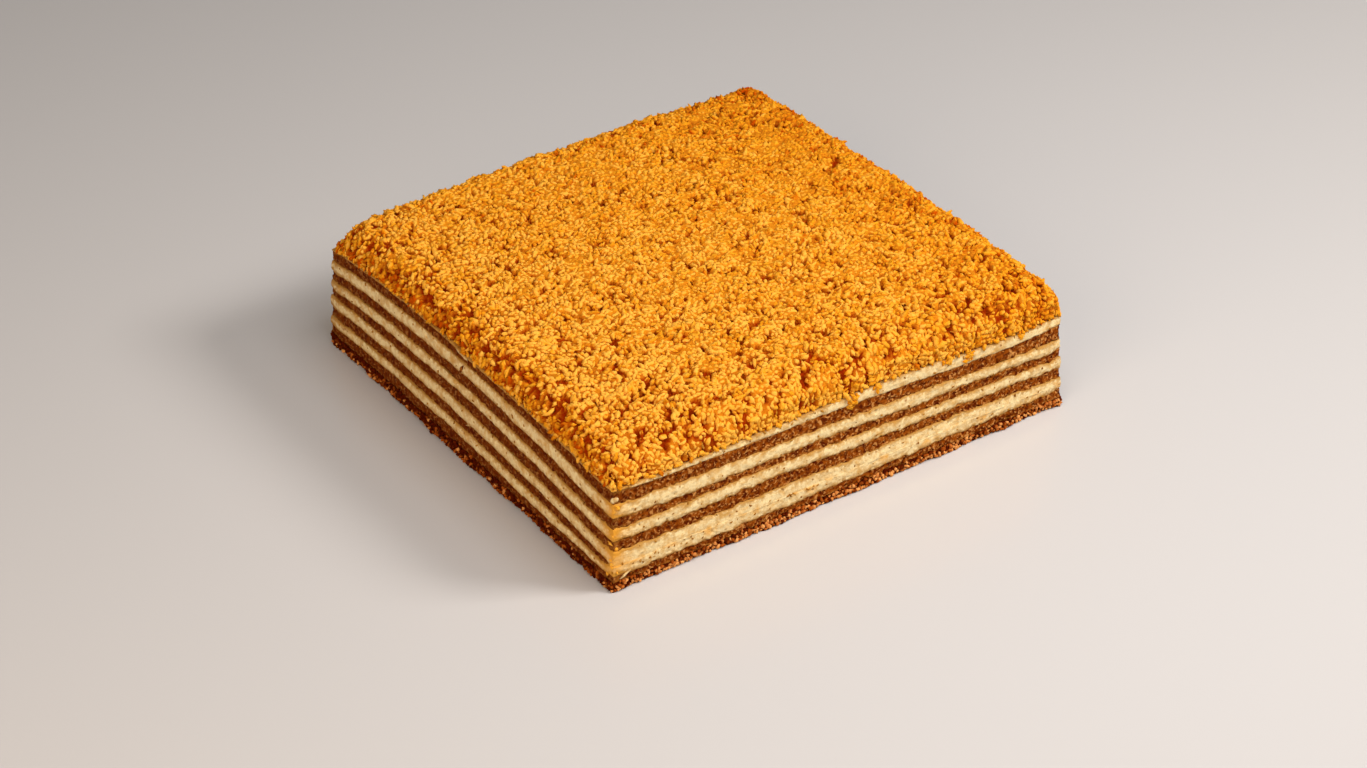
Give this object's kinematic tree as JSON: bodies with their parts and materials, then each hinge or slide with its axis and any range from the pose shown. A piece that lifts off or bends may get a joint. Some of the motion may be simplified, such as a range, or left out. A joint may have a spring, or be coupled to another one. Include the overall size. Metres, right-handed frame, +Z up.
{
  "type": "layered honey cake",
  "caption": "Square slab of honey cake, cut on all sides, with thin sponge sheets and cream fillings on a crumb bed under a thick blanket of crumb.",
  "frame": {"origin": "middle of the flat underside of the crumb bed", "axes": "+X along the longer side, +Y from the front to the back, +Z up"},
  "size_m": [0.1897, 0.1838, 0.0529],
  "materials": {
    "sponge": "brown baked sponge, grainy and full of small pores",
    "cream": "soft pale cream, smeared by the knife, with a dull sheen",
    "crumb": "golden toasted cake crumb, loose and dry",
    "bed_crumb": "red-brown toasted cake crumb, pressed flat"
  },
  "bodies": {
    "root": {"crumb_bed": "bed_crumb", "sponge_1": "sponge", "cream_1": "cream", "sponge_2": "sponge", "cream_2": "cream", "sponge_3": "sponge", "cream_3": "cream", "sponge_4": "sponge", "cream_4": "cream", "sponge_5": "sponge", "cream_coat": "cream", "crumb_blanket": "crumb"}
  },
  "joints": []
}
